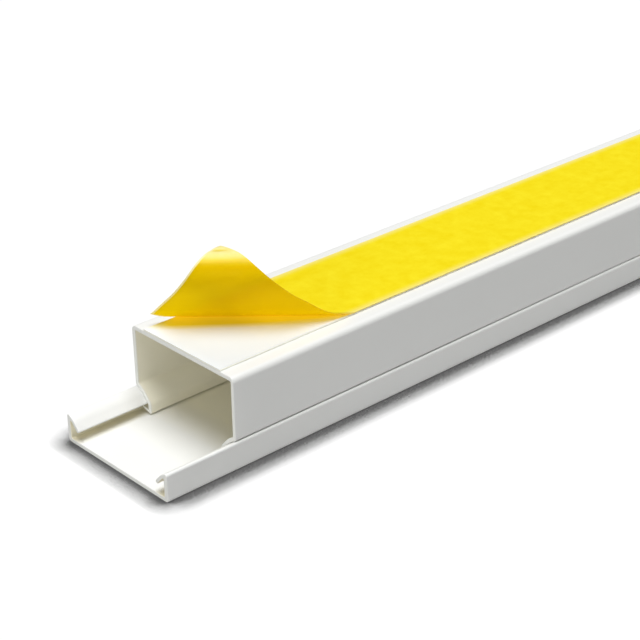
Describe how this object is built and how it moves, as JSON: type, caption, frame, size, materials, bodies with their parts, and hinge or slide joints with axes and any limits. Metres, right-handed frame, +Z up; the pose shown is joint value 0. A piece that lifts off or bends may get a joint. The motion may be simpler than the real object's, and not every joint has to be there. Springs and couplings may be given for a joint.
{
  "type": "cord cover raceway",
  "caption": "Self-adhesive clip-on cord cover raceway: channel, slide-on snap cover, foam tape and a liner peeled at one end.",
  "frame": {"origin": "middle of the part's footprint, on the flat outer face of the cover", "axes": "+X along the stock, away from the end with the peeled liner; +Y across; +Z up, out of the adhesive back"},
  "size_m": [1.021, 0.04, 0.0453],
  "materials": {
    "channel_pvc": "satin white rigid PVC extrusion",
    "cover_pvc": "satin white rigid PVC extrusion",
    "foam_tape": "white foam with glossy adhesive face",
    "liner_paper": "yellow siliconised paper, glossier and more golden on its release side"
  },
  "bodies": {
    "base": {"base_channel": "channel_pvc", "adhesive_tape": "foam_tape", "release_liner": "liner_paper"},
    "cover": {"cover": "cover_pvc"}
  },
  "joints": [
    {"name": "cover_slide", "type": "slide", "parent": "base", "child": "cover", "axis": [-1, 0, 0], "range_m": [-0.021, 0.979]}
  ]
}
